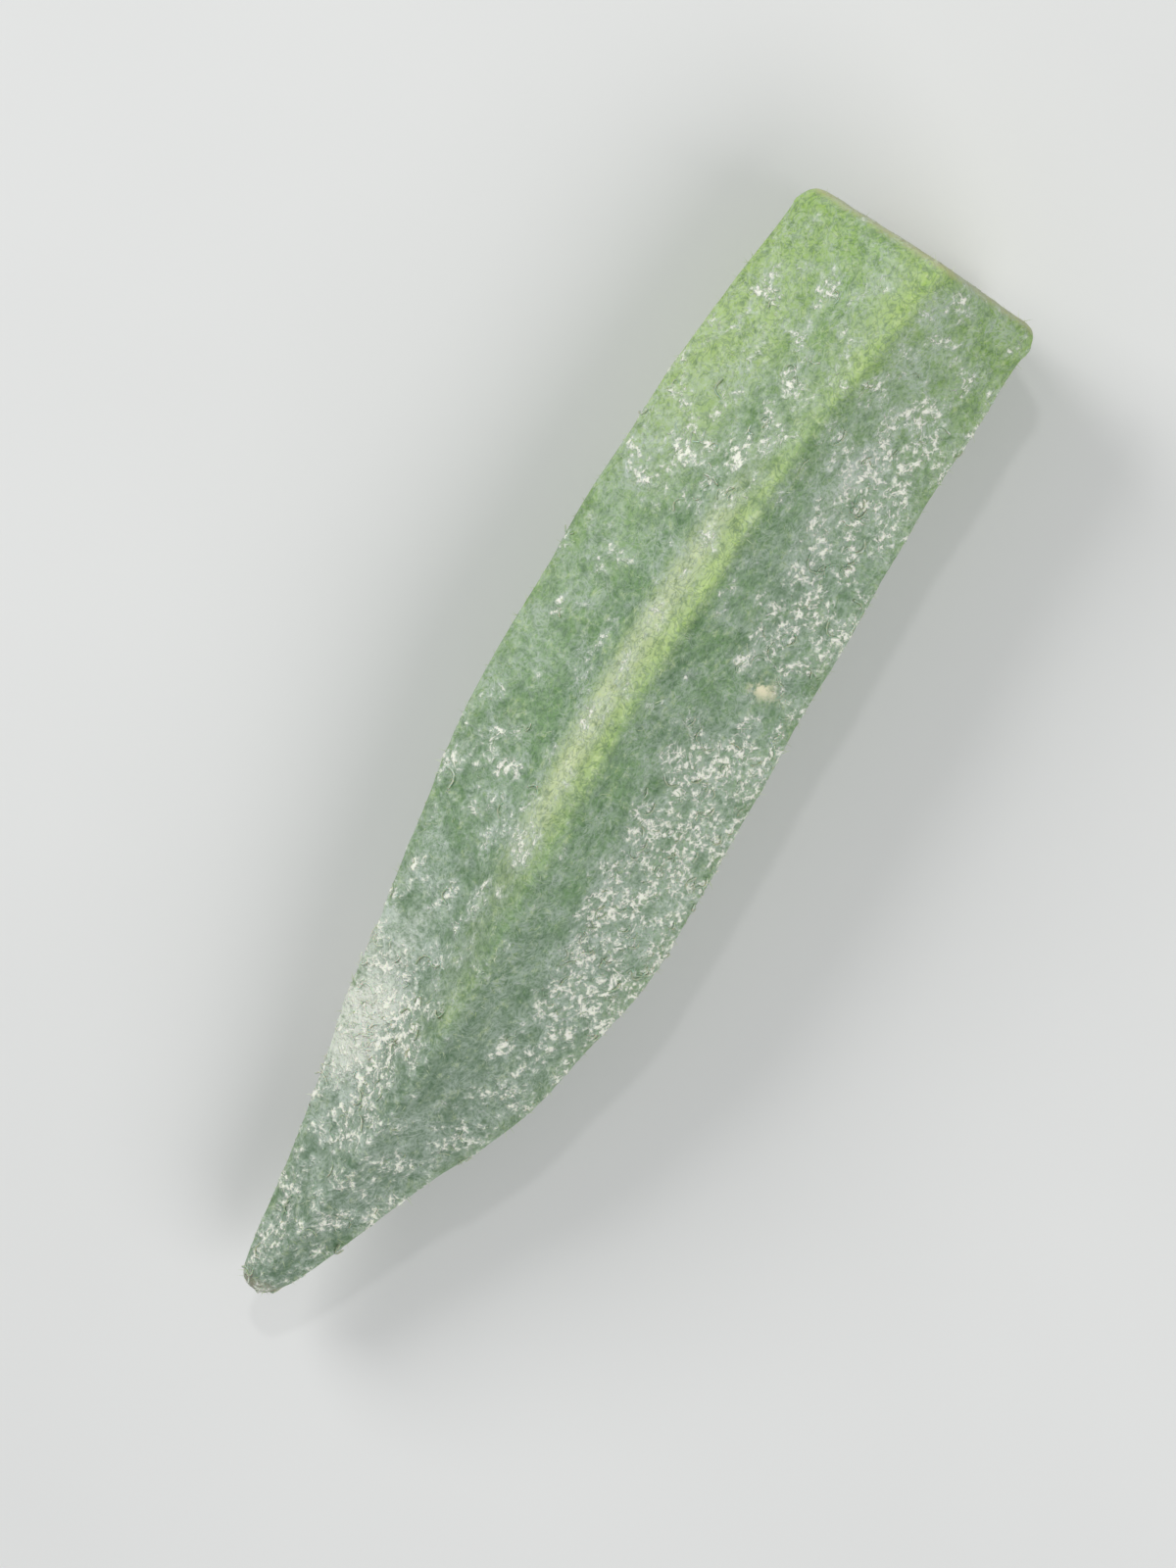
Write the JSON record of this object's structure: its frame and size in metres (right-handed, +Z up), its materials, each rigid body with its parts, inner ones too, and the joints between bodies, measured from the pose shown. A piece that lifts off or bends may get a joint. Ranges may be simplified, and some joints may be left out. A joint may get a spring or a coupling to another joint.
{
  "type": "okra pod",
  "caption": "Trimmed okra pod lying on its side: slim tapering body with ridges and hollowed faces, blunt pointed tip and a flat cut end.",
  "frame": {"origin": "on the surface under the pod, at the middle of its bounding box in plan", "axes": "+X along the pod from its tip to its cut end; +Z up, through the uppermost ridge; +Y across the pod"},
  "size_m": [0.09, 0.0226, 0.0202],
  "materials": {
    "pod_skin": "green vegetable skin with paler ridges, softly matte, lightly frosted",
    "frost": "fine white ice grains lying on the skin",
    "fuzz": "short pale plant hairs"
  },
  "bodies": {
    "root": {"pod": "pod_skin"}
  },
  "joints": []
}
